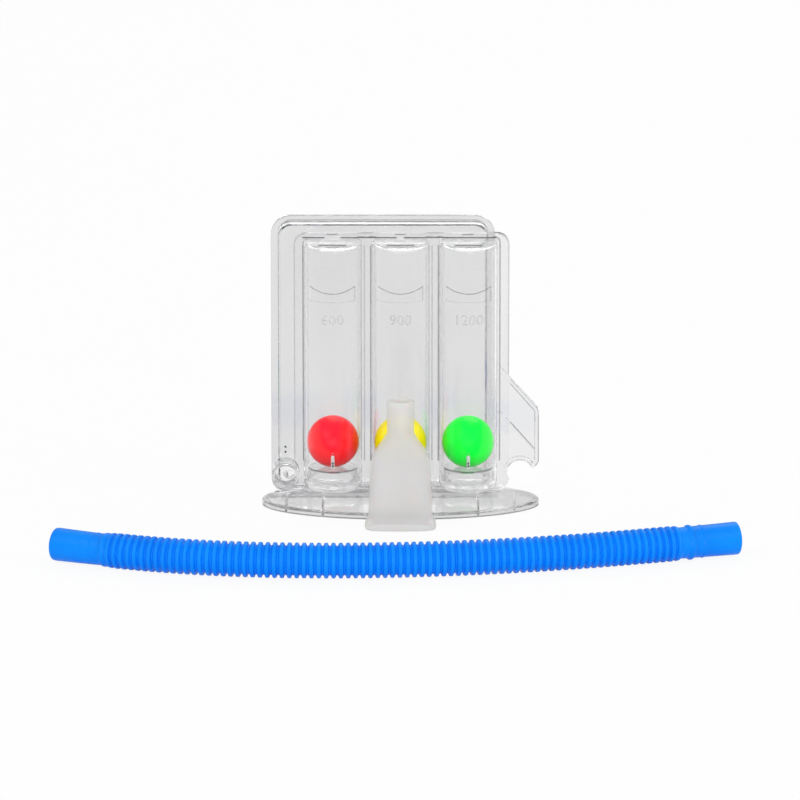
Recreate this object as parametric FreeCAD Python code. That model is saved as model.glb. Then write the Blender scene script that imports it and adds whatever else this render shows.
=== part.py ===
import FreeCAD, Part
import math
import os

# Three-ball incentive spirometer, millimetres, +Z up, front towards -Y.
# The origin is the centre of the elliptical foot on the table.

V = FreeCAD.Vector

# Balls and the columns that guide them
BALL_R = 12.7
BALL_GAP = 0.4
BALL_Y = -6.4
PITCH = 33.0
COLUMN_WALL = 1.1
COLUMN_IN = BALL_R + BALL_GAP
COLUMN_OUT = COLUMN_IN + COLUMN_WALL
COLUMN_LOW = 9.4
COLUMN_HIGH = 132.6
COLUMN_CAP = 1.2
COLUMN_TOP_ROUND = 2.4
COLUMN_FOOT_ROUND = 4.6
TOP_STOP_GAP = 0.3

# Seats
LEDGE_Z = 14.8
LEDGE_R = 12.0
SEAT_FLANGE = 1.5
SEAT_CUP_R = 12.0
SEAT_TOP = 20.7
SEAT_WALL = 1.2
SEAT_CLEAR = 0.1
AIR_HOLE_R = {"left": 2.2, "centre": 2.6, "right": 3.0}
INLET_R = 2.0
INLET_RING_R = 6.0
INLET_COUNT = 4

# Front flange and the raised panel that the columns stand on
SPLIT_Y = BALL_Y + COLUMN_IN
FLANGE_T = 1.6
FLANGE_LEFT = -52.2
FLANGE_RIGHT = 53.2
FLANGE_LOW = 5.6
FLANGE_HIGH = 134.6
FLANGE_ROUND = 6.0
PANEL_LEFT = -47.8
PANEL_RIGHT = 48.9
PANEL_LOW = 8.2
PANEL_HIGH = 133.2
PANEL_RISE = 1.9
PANEL_ROUND = 3.0
GROOVE_W = 2.2
GROOVE_FLOOR = 1.3

# Small relief on each column's front
GATE_W = 1.4
GATE_LOW = 23.6
GATE_HIGH = 30.6
GATE_RISE = 0.7
LUG_W = 5.8
LUG_RISE = 0.9
LUG_H = 1.2

# Rear housing: manifold and back cover share one weld flange
WELD_LEFT = -63.3
WELD_RIGHT = 46.2
WELD_LOW = 2.0
WELD_HIGH = 142.5
WELD_TOP_ROUND = 10.0
WELD_FOOT_ROUND = 9.0
WELD_BAND = 3.3
WELD_T = 1.4
WELD_EDGE_ROUND = 0.5
PAN_EDGE_ROUND = 1.0
HOUSING_WALL = 1.4
PAN_DEPTH = 3.0
COVER_DEPTH = 7.4
COVER_EDGE_ROUND = 2.6
OUTLET_W = 12.0
OUTLET_LOW = 125.0
OUTLET_HIGH = 130.6

# Hose spigot
PORT_X = -56.2
PORT_Z = 14.8
PORT_R = 6.7
PORT_WALL = 1.3
PORT_LENGTH = 12.0
PORT_EDGE = 0.5
PORT_BOSS = 0.3
CUFF_ROOM = 1.6

# Holder wing
WING_ROOT_X = 45.0
WING_ROOT_TOP = 71.6
WING_CORNER = (67.2, 46.8)
WING_RIGHT = 67.9
WING_SHOULDER = 44.0
WING_LOW = 20.4
WING_TIP = (66.2, 16.9)
NOTCH_X = 58.6
NOTCH_Z = 14.1
NOTCH_R = 6.25
NOTCH_BAND = 1.6
WING_BAND = 2.1
WING_RISE = 1.5
BRACE_FROM = (48.0, 44.6)
BRACE_TO = (66.4, 24.4)
BRACE_W = 1.3
WING_CLEAR = 0.3

# Foot
FOOT_A = 67.8
FOOT_B = 32.0
FOOT_RIM = 3.2
FOOT_RIM_ROUND = 1.2
FOOT_RIM_STEP = 1.6
FOOT_DOME = 3.4
FOOT_FLAT = 22.0
FOOT_SWELL = 0.72
FOOT_WALL = 1.5
FOOT_CLEAR = 0.3
FOOT_RIB = 1.2
FOOT_RIBS_IN = (12.3, 30.1)
FOOT_RIB_LIFT = 0.4
FOOT_SHELF_BACK = 21.0

# Mouthpiece
MOUTH_Y = -47.2
MOUTH_H = 63.4
MOUTH_NECK_R = 6.35
MOUTH_NECK_LOW = 47.4
MOUTH_NECK_STEP = 0.3
MOUTH_WALL = 1.2
MOUTH_SHOULDER_Z = 35.0
MOUTH_SHOULDER_W = 26.6
MOUTH_BODY_W = 30.2
MOUTH_BODY_D = 13.3
MOUTH_LIP_H = 6.0
MOUTH_LIP_TOP_W = 32.0
MOUTH_LIP_W = 33.5
MOUTH_LIP_D = 15.2
MOUTH_LIP_TOP_D = 14.2

# Hose: the corrugated run is left plain here
HOSE_R = 8.5
HOSE_BORE = 6.75
HOSE_Z = HOSE_R
HOSE_ROUTE = (
    (-164.3, -110.4),
    (-131.0, -126.4),
    (-82.0, -139.2),
    (-28.0, -142.4),
    (28.0, -137.6),
    (80.0, -126.2),
    (124.0, -112.2),
    (160.7, -99.2),
)
ARC_SHARE = 0.45

COLUMNS = {"left": -PITCH, "centre": 0.0, "right": PITCH}


def box(x0, x1, y0, y1, z0, z1):
    return Part.makeBox(x1 - x0, y1 - y0, z1 - z0, V(x0, y0, z0))


def rod_y(x, z, r, y0, y1):
    return Part.makeCylinder(r, y1 - y0, V(x, y0, z), V(0, 1, 0))


def face_of(points):
    # points hold plain corners and, for an arc, a pair of its middle and its end
    start = points[0]
    here = start
    edges = []
    for item in points[1:] + [start]:
        if isinstance(item, tuple):
            edges.append(Part.Arc(here, item[0], item[1]).toShape())
            here = item[1]
        elif (item - here).Length > 1e-6:
            edges.append(Part.makeLine(here, item))
            here = item
    return Part.Face(Part.Wire(edges))


def corner(cx, cz, r, y, start):
    # quarter arc about (cx, cz) from the start angle, counter-clockwise seen from +Y down
    def at(angle):
        turn = math.radians(angle)
        return V(cx + r * math.cos(turn), y, cz + r * math.sin(turn))
    return at(start), (at(start + 45), at(start + 90))


def plate(left, right, low, high, top_r, foot_r, y0, y1):
    points = []
    spots = (
        (right - top_r, high - top_r, top_r, 0),
        (left + top_r, high - top_r, top_r, 90),
        (left + foot_r, low + foot_r, foot_r, 180),
        (right - foot_r, low + foot_r, foot_r, 270),
    )
    for cx, cz, r, start in spots:
        first, arc = corner(cx, cz, r, y0, start)
        points += [first, arc]
    return face_of(points).extrude(V(0, y1 - y0, 0))


def weld_plate(inset, y0, y1):
    return plate(
        WELD_LEFT + inset, WELD_RIGHT - inset, WELD_LOW + inset, WELD_HIGH - inset,
        WELD_TOP_ROUND - inset, WELD_FOOT_ROUND - inset, y0, y1,
    )


def round_face(solid, y, r):
    # rounds all the edges that lie in the plane at y
    edges = []
    for edge in solid.Edges:
        b = edge.BoundBox
        if abs(b.YMin - y) < 1e-4 and abs(b.YMax - y) < 1e-4:
            edges.append(edge)
    return solid.makeFillet(r, edges)


def column_block(x, r, low, high, back):
    points = [
        V(x - r, back, low),
        V(x - r, BALL_Y, low),
        (V(x, BALL_Y - r, low), V(x + r, BALL_Y, low)),
        V(x + r, back, low),
    ]
    return face_of(points).extrude(V(0, 0, high - low))


def round_rim(solid, z, r, back):
    # rounds the level edges at z, all but the one on the back plane
    edges = []
    for edge in solid.Edges:
        b = edge.BoundBox
        level = abs(b.ZMin - z) < 1e-4 and abs(b.ZMax - z) < 1e-4
        if level and not (abs(b.YMin - back) < 1e-4 and abs(b.YMax - back) < 1e-4):
            edges.append(edge)
    return solid.makeFillet(r, edges)


# Front shell
def column_outside(x):
    solid = column_block(x, COLUMN_OUT, COLUMN_LOW, COLUMN_HIGH, SPLIT_Y)
    solid = round_rim(solid, COLUMN_HIGH, COLUMN_TOP_ROUND, SPLIT_Y)
    return round_rim(solid, COLUMN_LOW, COLUMN_FOOT_ROUND, SPLIT_Y)


def column_inside(x):
    room = column_block(x, COLUMN_IN, LEDGE_Z, COLUMN_HIGH - COLUMN_CAP, SPLIT_Y)
    room = round_rim(room, COLUMN_HIGH - COLUMN_CAP, COLUMN_TOP_ROUND - COLUMN_CAP, SPLIT_Y)
    well = column_block(x, LEDGE_R, COLUMN_LOW + COLUMN_CAP, LEDGE_Z, SPLIT_Y)
    well = round_rim(well, COLUMN_LOW + COLUMN_CAP, COLUMN_FOOT_ROUND - 2 * COLUMN_CAP, SPLIT_Y)
    return room.fuse(well)


def inlet_holes(x):
    holes = []
    for i in range(INLET_COUNT):
        turn = 2 * math.pi * (i + 0.5) / INLET_COUNT
        spot = V(
            x + INLET_RING_R * math.cos(turn),
            BALL_Y + INLET_RING_R * math.sin(turn),
            COLUMN_LOW - 1,
        )
        holes.append(Part.makeCylinder(INLET_R, COLUMN_CAP + 2, spot))
    return holes


def gate_rib(x):
    front = BALL_Y - COLUMN_OUT
    rib = box(x - GATE_W / 2, x + GATE_W / 2, front - GATE_RISE, front + 0.5, GATE_LOW, GATE_HIGH)
    edges = [e for e in rib.Edges if e.BoundBox.YMax < front - GATE_RISE + 1e-4]
    return rib.makeFillet(GATE_RISE * 0.6, edges)


def flange_lug(x):
    face = SPLIT_Y - FLANGE_T
    top = FLANGE_HIGH - 0.2
    return box(x - LUG_W / 2, x + LUG_W / 2, face - LUG_RISE, face, top - LUG_H, top)


def front_shell():
    face = SPLIT_Y - FLANGE_T
    shell = plate(
        FLANGE_LEFT, FLANGE_RIGHT, FLANGE_LOW, FLANGE_HIGH,
        FLANGE_ROUND, FLANGE_ROUND, face, SPLIT_Y,
    )
    panel = plate(
        PANEL_LEFT, PANEL_RIGHT, PANEL_LOW, PANEL_HIGH,
        PANEL_ROUND, PANEL_ROUND, face - PANEL_RISE, SPLIT_Y,
    )
    adds = [panel]
    cuts = []
    for x in COLUMNS.values():
        adds += [column_outside(x), gate_rib(x), flange_lug(x)]
        cuts += [column_inside(x)] + inlet_holes(x)
    for x in (-PITCH / 2, PITCH / 2):
        cuts.append(box(
            x - GROOVE_W / 2, x + GROOVE_W / 2, face - PANEL_RISE + GROOVE_FLOOR, SPLIT_Y,
            PANEL_LOW + 4, PANEL_HIGH - 4,
        ))
    cuts.append(rod_y(PORT_X, PORT_Z, PORT_R + CUFF_ROOM, face - 5, SPLIT_Y))
    cuts.append(rod_y(NOTCH_X, NOTCH_Z, NOTCH_R + WING_CLEAR, face - 5, SPLIT_Y))
    return shell.fuse(adds).cut(cuts).removeSplitter()


# Seats
def seat(x, hole_r):
    flange = column_block(
        x, COLUMN_IN - SEAT_CLEAR, LEDGE_Z, LEDGE_Z + SEAT_FLANGE, SPLIT_Y - SEAT_CLEAR,
    )
    centre = V(x, BALL_Y, LEDGE_Z)
    cup = Part.makeCylinder(SEAT_CUP_R, SEAT_TOP - LEDGE_Z, centre)
    top = [e for e in cup.Edges if e.BoundBox.ZMin > SEAT_TOP - 1e-4]
    cup = cup.makeFillet(0.5, top)
    hollow = Part.makeCylinder(
        SEAT_CUP_R - SEAT_WALL, SEAT_TOP - SEAT_WALL - LEDGE_Z, centre,
    )
    hole = Part.makeCylinder(hole_r, SEAT_TOP - LEDGE_Z + 1, centre)
    return flange.fuse(cup).cut([hollow, hole]).removeSplitter()


def ball_rest(side):
    return SEAT_TOP + math.sqrt(BALL_R ** 2 - AIR_HOLE_R[side] ** 2) + 0.01


def ball(side):
    return Part.makeSphere(BALL_R, V(COLUMNS[side], BALL_Y, ball_rest(side)))


# Manifold
def strip(p, q, width, y0, y1):
    run = V(q[0] - p[0], 0, q[1] - p[1])
    side = V(-run.z, 0, run.x).normalize() * (width / 2)
    a = V(p[0], y0, p[1])
    b = V(q[0], y0, q[1])
    return face_of([a + side, a - side, b - side, b + side]).extrude(V(0, y1 - y0, 0))


def wing_outline(y0, y1):
    points = [
        V(WING_ROOT_X, y0, WING_ROOT_TOP),
        V(WING_CORNER[0], y0, WING_CORNER[1]),
        V(WING_RIGHT, y0, WING_SHOULDER),
        V(WING_RIGHT, y0, WING_LOW),
        V(WING_TIP[0], y0, WING_TIP[1]),
        V(NOTCH_X, y0, NOTCH_Z),
        V(WING_ROOT_X, y0, NOTCH_Z),
    ]
    solid = face_of(points).extrude(V(0, y1 - y0, 0))
    return solid


def wing_bands(y0, y1):
    outline = wing_outline(y0, y1)
    bands = [
        strip((WING_ROOT_X, WING_ROOT_TOP), WING_CORNER, 2 * WING_BAND, y0, y1),
        strip(WING_CORNER, (WING_RIGHT, WING_SHOULDER), 2 * WING_BAND, y0, y1),
        strip((WING_RIGHT, WING_SHOULDER), (WING_RIGHT, WING_LOW), 2 * WING_BAND, y0, y1),
        strip((WING_RIGHT, WING_LOW), WING_TIP, 2 * WING_BAND, y0, y1),
        rod_y(NOTCH_X, NOTCH_Z, NOTCH_R + NOTCH_BAND, y0, y1),
        strip(BRACE_FROM, BRACE_TO, BRACE_W, y0, y1),
    ]
    return bands[0].fuse(bands[1:]).common(outline)


def wing():
    back = SPLIT_Y + HOUSING_WALL
    web = wing_outline(SPLIT_Y, back)
    rear = wing_bands(back - 0.1, back + WING_RISE)
    front = wing_bands(SPLIT_Y - WING_RISE, SPLIT_Y + 0.1)
    clear = FLANGE_RIGHT + WING_CLEAR
    front = front.common(box(clear, WING_RIGHT + 1, -20, 20, 0, 90))
    notch = rod_y(NOTCH_X, NOTCH_Z, NOTCH_R, SPLIT_Y - 9, back + 9)
    return web.fuse([rear, front]).cut(notch).removeSplitter()


def manifold():
    pan_back = SPLIT_Y + PAN_DEPTH
    weld_back = pan_back + WELD_T
    body = round_face(weld_plate(WELD_BAND, SPLIT_Y, pan_back), SPLIT_Y, PAN_EDGE_ROUND)
    adds = [
        round_face(weld_plate(0.0, pan_back, weld_back), pan_back, WELD_EDGE_ROUND),
        plate(
            FLANGE_LEFT, FLANGE_RIGHT, FLANGE_LOW, FLANGE_HIGH,
            FLANGE_ROUND, FLANGE_ROUND, SPLIT_Y, SPLIT_Y + HOUSING_WALL,
        ),
        rod_y(PORT_X, PORT_Z, PORT_R + PORT_BOSS, SPLIT_Y, pan_back),
        port_spigot(),
        wing(),
    ]
    cuts = [
        weld_plate(WELD_BAND + HOUSING_WALL, SPLIT_Y + HOUSING_WALL, weld_back),
        rod_y(PORT_X, PORT_Z, PORT_R - PORT_WALL, SPLIT_Y - PORT_LENGTH - 1, weld_back),
        rod_y(NOTCH_X, NOTCH_Z, NOTCH_R, SPLIT_Y - 9, weld_back),
    ]
    for x in COLUMNS.values():
        cuts.append(box(
            x - OUTLET_W / 2, x + OUTLET_W / 2, SPLIT_Y - 1, SPLIT_Y + HOUSING_WALL + 0.5,
            OUTLET_LOW, OUTLET_HIGH,
        ))
    return body.fuse(adds).cut(cuts).removeSplitter()


def port_spigot():
    face = SPLIT_Y - PORT_LENGTH
    tube = rod_y(PORT_X, PORT_Z, PORT_R, face, SPLIT_Y)
    edges = [e for e in tube.Edges if e.BoundBox.YMax < face + 1e-4]
    return tube.makeChamfer(PORT_EDGE, edges)


# Back cover
def back_cover():
    weld = SPLIT_Y + PAN_DEPTH + WELD_T
    back = weld + COVER_DEPTH
    pan = round_face(weld_plate(WELD_BAND, weld, back), back, COVER_EDGE_ROUND)
    room = weld_plate(WELD_BAND + HOUSING_WALL, weld, back - HOUSING_WALL)
    room = round_face(room, back - HOUSING_WALL, COVER_EDGE_ROUND - HOUSING_WALL)
    flange = round_face(weld_plate(0.0, weld, weld + WELD_T), weld + WELD_T, WELD_EDGE_ROUND)
    return pan.fuse(flange).cut(room).removeSplitter()


# Foot
def foot_body(inset, low):
    # a round turned body, then squeezed to an ellipse; the box trims its bottom flat
    a = FOOT_A - inset
    rim = FOOT_RIM - inset
    r = max(FOOT_RIM_ROUND - inset * 0.5, 0.4)
    step = a - FOOT_RIM_STEP
    top = rim + FOOT_DOME
    mid = (step + FOOT_FLAT) / 2
    swell = rim + FOOT_DOME * FOOT_SWELL
    turn = math.radians(45)
    edges = [
        Part.makeLine(V(0, 0, -2), V(a, 0, -2)),
        Part.makeLine(V(a, 0, -2), V(a, 0, rim - r)),
        Part.Arc(
            V(a, 0, rim - r),
            V(a - r + r * math.cos(turn), 0, rim - r + r * math.sin(turn)),
            V(a - r, 0, rim),
        ).toShape(),
        Part.makeLine(V(a - r, 0, rim), V(step, 0, rim)),
        Part.Arc(V(step, 0, rim), V(mid, 0, swell), V(FOOT_FLAT, 0, top)).toShape(),
        Part.makeLine(V(FOOT_FLAT, 0, top), V(0, 0, top)),
        Part.makeLine(V(0, 0, top), V(0, 0, -2)),
    ]
    solid = Part.Face(Part.Wire(edges)).revolve(V(0, 0, 0), V(0, 0, 1), 360)
    matrix = FreeCAD.Matrix()
    matrix.scale(1, (FOOT_B - inset) / a, 1)
    solid = Part.Solid(Part.Shell(solid.transformGeometry(matrix).Faces))
    return solid.common(box(-90, 90, -60, 60, low, 40))


def housing_room():
    # everything the housing takes up in the foot, grown by the clearance
    c = FOOT_CLEAR
    pan_back = SPLIT_Y + PAN_DEPTH
    weld_back = pan_back + 2 * WELD_T
    high = 40.0
    return [
        box(WELD_LEFT - c, WELD_RIGHT + c, pan_back - c, weld_back + c, WELD_LOW, high),
        box(
            WELD_LEFT + WELD_BAND - c, WELD_RIGHT - WELD_BAND + c, SPLIT_Y - c,
            pan_back + WELD_T + COVER_DEPTH + c, WELD_LOW + WELD_BAND - c, high,
        ),
        box(
            FLANGE_LEFT - c, FLANGE_RIGHT + c, SPLIT_Y - FLANGE_T - c,
            SPLIT_Y + HOUSING_WALL + c, FLANGE_LOW - c, high,
        ),
    ]


def base_foot():
    outside = foot_body(0.0, 0.0)
    hollow = foot_body(FOOT_WALL, -1.0)
    shell = outside.cut(hollow)
    slot_low = SPLIT_Y + PAN_DEPTH - FOOT_CLEAR - FOOT_WALL
    slot_high = SPLIT_Y + PAN_DEPTH + 2 * WELD_T + FOOT_CLEAR + FOOT_WALL
    socket = box(-90, WELD_RIGHT + FOOT_CLEAR + FOOT_WALL, slot_low, slot_high, 0, 20)
    floor_low = FLANGE_LOW - FOOT_CLEAR - FOOT_WALL - 0.4
    floor = box(-90, 90, SPLIT_Y - 4, FOOT_SHELF_BACK, floor_low, 20)
    inner = [socket.common(outside), floor.common(outside)]
    for x in [side * (FOOT_A - setback) for setback in FOOT_RIBS_IN for side in (-1, 1)]:
        rib = box(x - FOOT_RIB / 2, x + FOOT_RIB / 2, -FOOT_B, slot_low, FOOT_RIB_LIFT, 20)
        inner.append(rib.common(outside))
    return shell.fuse(inner).cut(housing_room())


# Mouthpiece
def oval(width, depth, z, power):
    points = []
    count = 24
    for i in range(count):
        turn = 2 * math.pi * i / count
        c = math.cos(turn)
        s = math.sin(turn)
        points.append(V(
            math.copysign(abs(c) ** (2 / power), c) * width / 2,
            MOUTH_Y + math.copysign(abs(s) ** (2 / power), s) * depth / 2,
            z,
        ))
    curve = Part.BSplineCurve()
    curve.interpolate(Points=points, PeriodicFlag=True, Parameters=list(range(count + 1)))
    return Part.Wire(curve.toShape())


def ease(t):
    return t * t * (3 - 2 * t)


def mouth_section(z, skin):
    # neck, sloping shoulder, then a body that widens slowly towards the lip
    neck = 2 * (MOUTH_NECK_R + MOUTH_NECK_STEP)
    if z > MOUTH_SHOULDER_Z:
        t = (MOUTH_NECK_LOW - z) / (MOUTH_NECK_LOW - MOUTH_SHOULDER_Z)
        width = neck + (MOUTH_SHOULDER_W - neck) * (0.6 * ease(t) + 0.4 * t)
        power = 2.0 + 0.7 * ease(t)
    else:
        t = (MOUTH_SHOULDER_Z - z) / MOUTH_SHOULDER_Z
        width = MOUTH_SHOULDER_W + (MOUTH_BODY_W - MOUTH_SHOULDER_W) * math.sin(t * math.pi / 2)
        power = 2.7 + 0.7 * t
    return oval(width - 2 * skin, MOUTH_BODY_D - 2 * skin, z, power)


def mouth_solid(skin, low):
    levels = [MOUTH_NECK_LOW - i * (MOUTH_NECK_LOW - MOUTH_SHOULDER_Z) / 6 for i in range(7)]
    levels += [MOUTH_SHOULDER_Z - 6, MOUTH_SHOULDER_Z - 14, MOUTH_SHOULDER_Z - 22, low]
    body = Part.makeLoft([mouth_section(z, skin) for z in levels], True, True)
    tube = Part.makeCylinder(
        MOUTH_NECK_R - skin, MOUTH_H - MOUTH_NECK_LOW + skin + 1.0,
        V(0, MOUTH_Y, MOUTH_NECK_LOW - 1.0),
    )
    return body.fuse(tube)


def mouthpiece():
    outside = mouth_solid(0.0, MOUTH_LIP_H - 1.0)
    lip = Part.makeLoft([
        oval(MOUTH_LIP_W, MOUTH_LIP_D, 0.0, 3.8),
        oval(MOUTH_LIP_TOP_W, MOUTH_LIP_TOP_D, MOUTH_LIP_H, 3.6),
    ], True, True)
    inside = mouth_solid(MOUTH_WALL, -0.5)
    whole = outside.fuse(lip).cut(inside)
    return whole.common(box(-40, 40, MOUTH_Y - 20, MOUTH_Y + 20, 0, MOUTH_H)).removeSplitter()


# Hose
def hose_wire():
    points = [V(x, y, HOSE_Z) for x, y in HOSE_ROUTE]
    edges = []
    here = points[0]
    for i in range(1, len(points) - 1):
        before = points[i] - points[i - 1]
        after = points[i + 1] - points[i]
        turn = before.getAngle(after)
        reach = ARC_SHARE * min(before.Length, after.Length)
        radius = reach / math.tan(turn / 2)
        enter = points[i] - before.normalize() * reach
        leave = points[i] + after.normalize() * reach
        toward = (enter + leave) * 0.5 - points[i]
        sag = radius / math.cos(turn / 2) - radius
        middle = points[i] + toward.normalize() * sag
        edges.append(Part.makeLine(here, enter))
        edges.append(Part.Arc(enter, middle, leave).toShape())
        here = leave
        print("hose bend", i, "radius mm", round(radius, 1))
    edges.append(Part.makeLine(here, points[-1]))
    print("hose first and last straight mm", round(edges[0].Length, 2), round(edges[-1].Length, 2))
    return Part.Wire(edges)


def hose_pipe(wire, r):
    start = wire.Edges[0]
    along = start.tangentAt(start.FirstParameter)
    ring = Part.makeCircle(r, start.valueAt(start.FirstParameter), along)
    return wire.makePipeShell([Part.Wire(ring)], True, True)


def hose():
    wire = hose_wire()
    tube = hose_pipe(wire, HOSE_R).cut(hose_pipe(wire, HOSE_BORE))
    area = math.pi * (HOSE_R ** 2 - HOSE_BORE ** 2)
    print("hose length mm", round(wire.Length, 2))
    print("hose volume over section x length", round(tube.Volume / (area * wire.Length), 4))
    return tube


def nodes():
    made = {
        "base_foot": base_foot(),
        "front_shell": front_shell(),
        "manifold": manifold(),
        "back_cover": back_cover(),
        "mouthpiece": mouthpiece(),
        "hose": hose(),
    }
    for side, x in COLUMNS.items():
        made["seat_" + side] = seat(x, AIR_HOLE_R[side])
    for side, name in (("left", "red"), ("centre", "yellow"), ("right", "green")):
        made["ball_" + name] = ball(side)
    return made


os.makedirs("parts", exist_ok=True)
for name, shape in nodes().items():
    box_mm = shape.BoundBox
    print(
        name, "solids", len(shape.Solids), "valid", shape.isValid(),
        "mm", round(box_mm.XLength, 2), round(box_mm.YLength, 2), round(box_mm.ZLength, 2),
        "cm3", round(shape.Volume / 1000, 3),
    )
    shape.exportStep(os.path.join("parts", name + ".step"))
print("ball travel mm", round(COLUMN_HIGH - COLUMN_CAP - TOP_STOP_GAP - BALL_R - ball_rest("left"), 2))
for side in COLUMNS:
    print("ball rests at mm", side, round(ball_rest(side), 3))
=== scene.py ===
# %% [markdown]
# A three-ball breathing exerciser, dressed for its portrait.
#
# The clear mouldings come from a CAD program as a fixed frame, in metres and already in place. This lesson
# adds what such solids lack: a camera and light, the look of clear, milky and coloured plastic, the bellows
# of the hose, the soft shoulders of the mouthpiece and the raised numbers on the columns.

# %% Load the frame
import math
from functools import partial

import bpy
from mathutils import Euler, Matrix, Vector


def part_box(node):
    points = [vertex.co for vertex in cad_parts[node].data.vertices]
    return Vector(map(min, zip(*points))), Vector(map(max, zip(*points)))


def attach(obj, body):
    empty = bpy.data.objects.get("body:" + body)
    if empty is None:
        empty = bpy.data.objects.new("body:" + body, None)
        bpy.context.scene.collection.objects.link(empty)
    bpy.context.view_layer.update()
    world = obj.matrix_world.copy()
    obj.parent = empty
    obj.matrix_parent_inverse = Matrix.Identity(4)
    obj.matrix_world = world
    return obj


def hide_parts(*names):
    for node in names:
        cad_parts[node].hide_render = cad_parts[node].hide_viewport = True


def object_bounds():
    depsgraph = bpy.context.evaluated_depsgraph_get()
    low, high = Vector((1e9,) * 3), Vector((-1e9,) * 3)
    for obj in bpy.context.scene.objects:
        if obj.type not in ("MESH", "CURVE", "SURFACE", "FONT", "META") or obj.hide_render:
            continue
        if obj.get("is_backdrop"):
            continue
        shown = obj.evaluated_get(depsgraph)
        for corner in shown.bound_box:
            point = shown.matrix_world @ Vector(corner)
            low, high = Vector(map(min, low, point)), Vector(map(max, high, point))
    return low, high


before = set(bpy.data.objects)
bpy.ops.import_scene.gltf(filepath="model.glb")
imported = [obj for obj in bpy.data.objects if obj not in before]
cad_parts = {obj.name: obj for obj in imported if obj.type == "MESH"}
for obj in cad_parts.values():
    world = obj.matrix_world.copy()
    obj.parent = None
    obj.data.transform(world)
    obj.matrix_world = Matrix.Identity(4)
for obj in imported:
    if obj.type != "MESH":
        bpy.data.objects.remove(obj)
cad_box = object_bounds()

MM = 0.001
UP = Vector((0, 0, 1))
FORWARD = Vector((0, -1, 0))

# %% [markdown]
# The camera. The photograph looks like a catalogue picture: taken from far away with a long lens, a little
# above the table. A long lens keeps upright edges parallel. The lens is worked out from the distance and
# from the width of table that the square picture takes in, so both can be changed without losing the frame.

# %% Camera
LOOK_AT = Vector((-0.24, -6.4, 53.8)) * MM
CAMERA_DISTANCE = 4.0
CAMERA_TILT = math.radians(13.7)
PICTURE_WIDTH = 390.4 * MM

lens = bpy.data.cameras.new("portrait_camera")
lens.sensor_fit = "HORIZONTAL"
lens.sensor_width = 36.0
lens.lens = lens.sensor_width * CAMERA_DISTANCE / PICTURE_WIDTH
lens.clip_end = 30.0
camera = bpy.data.objects.new("portrait_camera", lens)
toward_camera = Vector((0.0, -math.cos(CAMERA_TILT), math.sin(CAMERA_TILT)))
camera.location = LOOK_AT + toward_camera * CAMERA_DISTANCE
camera.rotation_euler = (math.radians(90.0) - CAMERA_TILT, 0.0, 0.0)
bpy.context.collection.objects.link(camera)
bpy.context.scene.camera = camera
print("lens mm:", round(lens.lens, 1))

# %% [markdown]
# The hose's line. The real hose lies on the table in one slow bend. Its line is a NURBS curve through a few
# control points, because such a curve has no corners to smooth afterwards. The order and the end setting
# come after the points are added, since Blender would otherwise fall back to straight runs.

# %% Hose line
HOSE_ROUTE = (
    (-164.3, -110.4), (-131.0, -126.4), (-82.0, -139.2), (-28.0, -142.4),
    (28.0, -137.6), (80.0, -126.2), (124.0, -112.2), (160.7, -99.2),
)
HOSE_Z = 8.5


def read_hose_line():
    curve = bpy.data.curves.new("hose_line", "CURVE")
    curve.dimensions = "3D"
    curve.resolution_u = 40
    spline = curve.splines.new("NURBS")
    spline.points.add(len(HOSE_ROUTE) - 1)
    for point, (x, y) in zip(spline.points, HOSE_ROUTE):
        point.co = (x * MM, y * MM, HOSE_Z * MM, 1.0)
    spline.order_u = 3
    spline.use_endpoint_u = True
    carrier = bpy.data.objects.new("hose_line", curve)
    line = bpy.data.meshes.new_from_object(carrier)
    points = [v.co.copy() for v in line.vertices]
    bpy.data.objects.remove(carrier)
    bpy.data.curves.remove(curve)
    bpy.data.meshes.remove(line)
    return points


hose_points = read_hose_line()
hose_marks = [0.0]
for here, there in zip(hose_points, hose_points[1:]):
    hose_marks.append(hose_marks[-1] + (there - here).length)
HOSE_LENGTH = hose_marks[-1]
print("hose length mm:", round(HOSE_LENGTH / MM, 1), "from", len(hose_points), "points")

# %% [markdown]
# The hose's profile. A bellows hose is blown in a mould: square-shouldered ribs, valleys almost as wide, and
# a smooth cuff at each end that grips the spigot. A function that gives the radius at any distance along the
# hose describes all of it: the ribs, the cuffs, the mould line and the collar on the left, and the two beads
# on the right. The hyperbolic tangent squares off a cosine, which gives flat crests and steep flanks.

# %% Hose profile
RIB_CREST = 8.5
RIB_VALLEY = 6.95
RIB_COUNT = 80
RIB_SQUARENESS = 2.2
RIB_SHARE = 0.35
LEFT_CUFF = 25.6
COLLAR = 2.6
RIBS_FROM = LEFT_CUFF + COLLAR
RIGHT_CUFF = 29.6
CUFF_RADIUS = 7.62
RIGHT_CUFF_LESS = 0.12
CUFF_END_RADIUS = 7.92
HOSE_SKIN = 0.9
MOULD_LINE = 20.0
MOULD_LINE_WIDTH = 0.8
MOULD_LINE_DEPTH = 0.14
COLLAR_RISE = 0.5
RIGHT_BEADS = ((24.5, 2.4, 0.85), (18.5, 1.3, 0.3))


def bump_at(s, centre, width, height):
    t = abs(s - centre) / (width / 2)
    return height * math.sqrt(max(0.0, 1.0 - t * t))


def rib_wave(turn):
    tip = math.tanh(RIB_SQUARENESS * (1 + RIB_SHARE))
    wave = math.tanh(RIB_SQUARENESS * (RIB_SHARE - math.cos(2 * math.pi * turn)))
    return max(0.5 + 0.5 * wave / tip, 0.0)


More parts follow.
